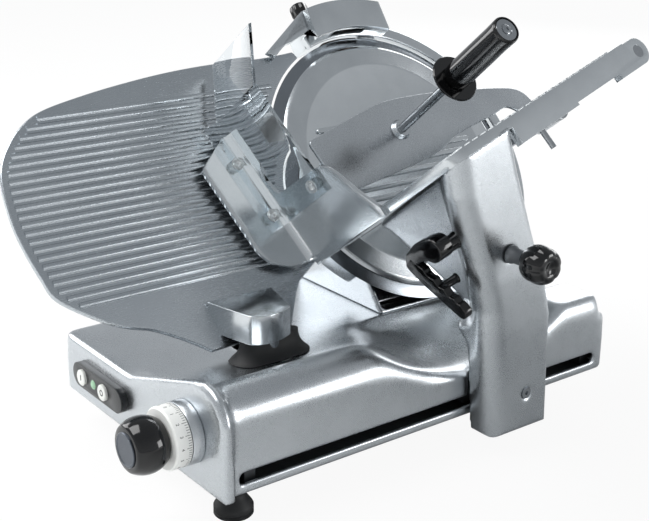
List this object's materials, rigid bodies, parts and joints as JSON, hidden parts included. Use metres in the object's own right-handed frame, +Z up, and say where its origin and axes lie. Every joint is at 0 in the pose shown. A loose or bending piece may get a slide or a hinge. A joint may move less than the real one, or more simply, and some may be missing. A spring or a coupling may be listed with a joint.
{
  "type": "gravity feed meat slicer",
  "caption": "Electric gravity feed slicer with a tilted round blade, sliding table with pusher, adjustable gauge plate and a built-on sharpener.",
  "frame": {"origin": "middle of the footprint on the table, level with the underside of the feet", "axes": "+X to the operator's right, where the carriage runs; +Y away from the operator, along the carriage's travel; +Z up"},
  "size_m": [0.4855, 0.656, 0.4422],
  "materials": {
    "cast_aluminium": "satin",
    "polished_aluminium": "polished",
    "machined_aluminium": "machined",
    "zinc_sheet": "matte",
    "black_rubber": "matte",
    "black_plastic": "gloss",
    "lamp_lens": "gloss",
    "green_board": "matte",
    "ground_steel": "ground",
    "grey_iron": "matte",
    "dark_metal": "satin",
    "grinding_stone": "rough",
    "white_dial": "satin",
    "dark_cap": "gloss",
    "bronze": "machined",
    "blade_steel": "ground",
    "black_nylon": "matte",
    "clear_plastic": "clear",
    "clear_screw": "clear",
    "pale_button": "satin"
  },
  "bodies": {
    "frame": {"base_casting": "cast_aluminium", "bottom_plate": "zinc_sheet", "feet": "black_rubber", "switch_plate": "black_plastic", "indicator_lamp": "lamp_lens", "control_board": "green_board", "dial_collar": "machined_aluminium", "guide_bar": "ground_steel", "guide_bar_blocks": "grey_iron", "roller_strip": "grey_iron", "gauge_guide_bar": "ground_steel", "gauge_bar_blocks": "grey_iron", "head_casting": "cast_aluminium", "motor": "dark_metal", "bearings": "ground_steel", "drive_belt": "black_rubber", "belt_tensioner": "grey_iron", "blade_ring": "polished_aluminium", "blade_cover": "polished_aluminium", "cover_tie_rod": "ground_steel", "cover_knob": "black_plastic", "sharpener_housing": "polished_aluminium", "grinding_stones": "grinding_stone", "slice_deflector": "polished_aluminium"},
    "gauge": {"gauge_plate": "polished_aluminium", "gauge_support": "polished_aluminium", "gauge_bellows": "black_rubber", "gauge_carrier": "grey_iron"},
    "dial": {"thickness_knob": "black_plastic", "dial_ring": "white_dial", "knob_cap": "dark_cap", "knob_shaft": "ground_steel"},
    "blade_rotor": {"blade": "blade_steel", "blade_shaft": "ground_steel", "blade_pulley": "grey_iron"},
    "motor_rotor": {"motor_pulley": "grey_iron"},
    "carriage": {"carriage_slider": "grey_iron", "slider_bushes": "bronze", "column": "cast_aluminium", "column_screw": "ground_steel", "table": "polished_aluminium", "table_stud": "ground_steel", "fence": "polished_aluminium", "hand_guard": "clear_plastic", "guard_screws": "clear_screw", "pull_handle": "black_plastic", "pusher_rod": "ground_steel"},
    "roller": {"carriage_roller": "black_nylon"},
    "lock": {"lock_knob": "black_plastic"},
    "pusher_slide_body": {"pusher_sleeve": "ground_steel"},
    "pusher": {"pusher_plate": "polished_aluminium", "pusher_shaft": "ground_steel", "pusher_shield": "black_plastic", "pusher_grip": "black_plastic", "pusher_cap": "ground_steel"},
    "start": {"start_button": "pale_button"},
    "stop": {"stop_button": "pale_button"},
    "sharpener_dial": {"sharpener_knob": "black_plastic"}
  },
  "joints": [
    {"name": "carriage_slide", "type": "slide", "parent": "frame", "child": "carriage", "axis": [0, 1, 0], "range_m": [-0.25, 0.095]},
    {"name": "roller_spin", "type": "hinge", "parent": "carriage", "child": "roller", "pos_m": [0.083, 0.085, 0.064], "axis": [1, 0, 0], "range_deg": [-600, 1600]},
    {"name": "lock_turn", "type": "hinge", "parent": "carriage", "child": "lock", "pos_m": [0.205, 0.0535, 0.2225], "axis": [1, 0, 0], "range_deg": [-180, 0]},
    {"name": "pusher_slide", "type": "slide", "parent": "carriage", "child": "pusher_slide_body", "axis": [0.7986, 0, 0.6018], "range_m": [-0.078, 0.12]},
    {"name": "pusher_swing", "type": "hinge", "parent": "pusher_slide_body", "child": "pusher", "pos_m": [0.00728, 0.27019, 0.28736], "axis": [0.7986, 0, 0.6018], "range_deg": [-100, 0]},
    {"name": "blade_spin", "type": "hinge", "parent": "frame", "child": "blade_rotor", "pos_m": [-0.11495, 0.142, 0.21693], "axis": [0.7986, 0, 0.6018], "continuous": true},
    {"name": "motor_spin", "type": "hinge", "parent": "frame", "child": "motor_rotor", "pos_m": [-0.04995, 0.142, 0.13068], "axis": [0.7986, 0, 0.6018], "continuous": true},
    {"name": "gauge_slide", "type": "slide", "parent": "frame", "child": "gauge", "axis": [1, 0, 0], "range_m": [-0.02003, 0]},
    {"name": "knob_turn", "type": "hinge", "parent": "frame", "child": "dial", "pos_m": [0.1, -0.29, 0.09], "axis": [0, 1, 0], "range_deg": [-1, 331]},
    {"name": "start_press", "type": "slide", "parent": "frame", "child": "start", "axis": [0, 1, 0], "range_m": [0, 0.003], "stiffness_N_per_m": 400},
    {"name": "stop_press", "type": "slide", "parent": "frame", "child": "stop", "axis": [0, 1, 0], "range_m": [0, 0.003], "stiffness_N_per_m": 400},
    {"name": "sharpener_turn", "type": "hinge", "parent": "frame", "child": "sharpener_dial", "pos_m": [-0.22996, 0.106, 0.39947], "axis": [-0.6018, 0, 0.7986], "range_deg": [0, 90]}
  ],
  "couplings": [
    {"joint": "knob_turn", "follows": "gauge_slide", "rad_per_m": -287.49},
    {"joint": "motor_spin", "follows": "blade_spin", "ratio": 3.1},
    {"joint": "roller_spin", "follows": "carriage_slide", "rad_per_m": -105.26}
  ]
}
